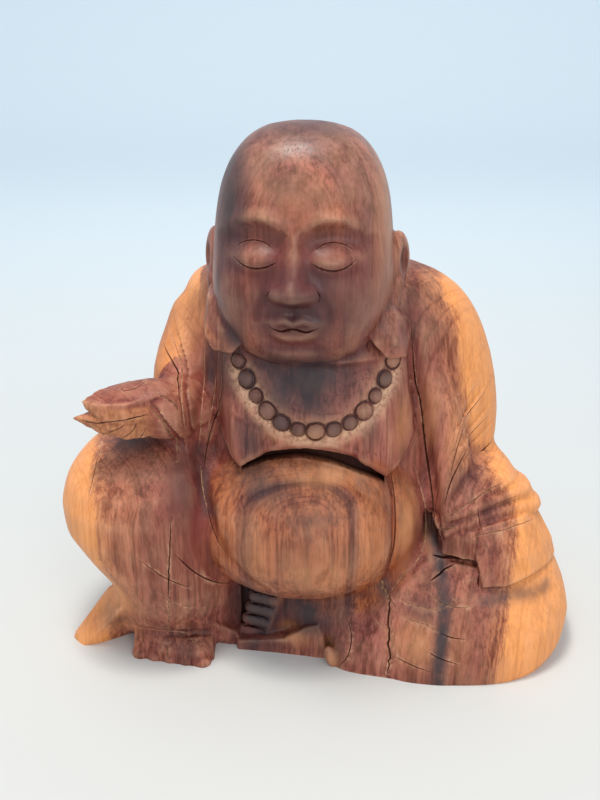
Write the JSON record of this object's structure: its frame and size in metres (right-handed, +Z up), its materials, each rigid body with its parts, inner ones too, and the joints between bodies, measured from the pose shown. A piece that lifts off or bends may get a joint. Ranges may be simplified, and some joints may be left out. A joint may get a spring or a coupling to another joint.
{
  "type": "wooden buddha figure",
  "caption": "Carved wooden buddha figure, seated in an open robe with a knee raised, beads on its bare chest and an ingot on its raised hand.",
  "frame": {"origin": "middle of the bounding box in X and Y, on the surface the figure stands on", "axes": "+Z up, front towards -Y, the figure's left hand towards +X"},
  "size_m": [0.2216, 0.1222, 0.2249],
  "materials": {
    "carved_wood": "satin wax over two-coloured hardwood, red-brown heart and yellow sapwood"
  },
  "bodies": {
    "root": {"seated_figure": "carved_wood"}
  },
  "joints": []
}
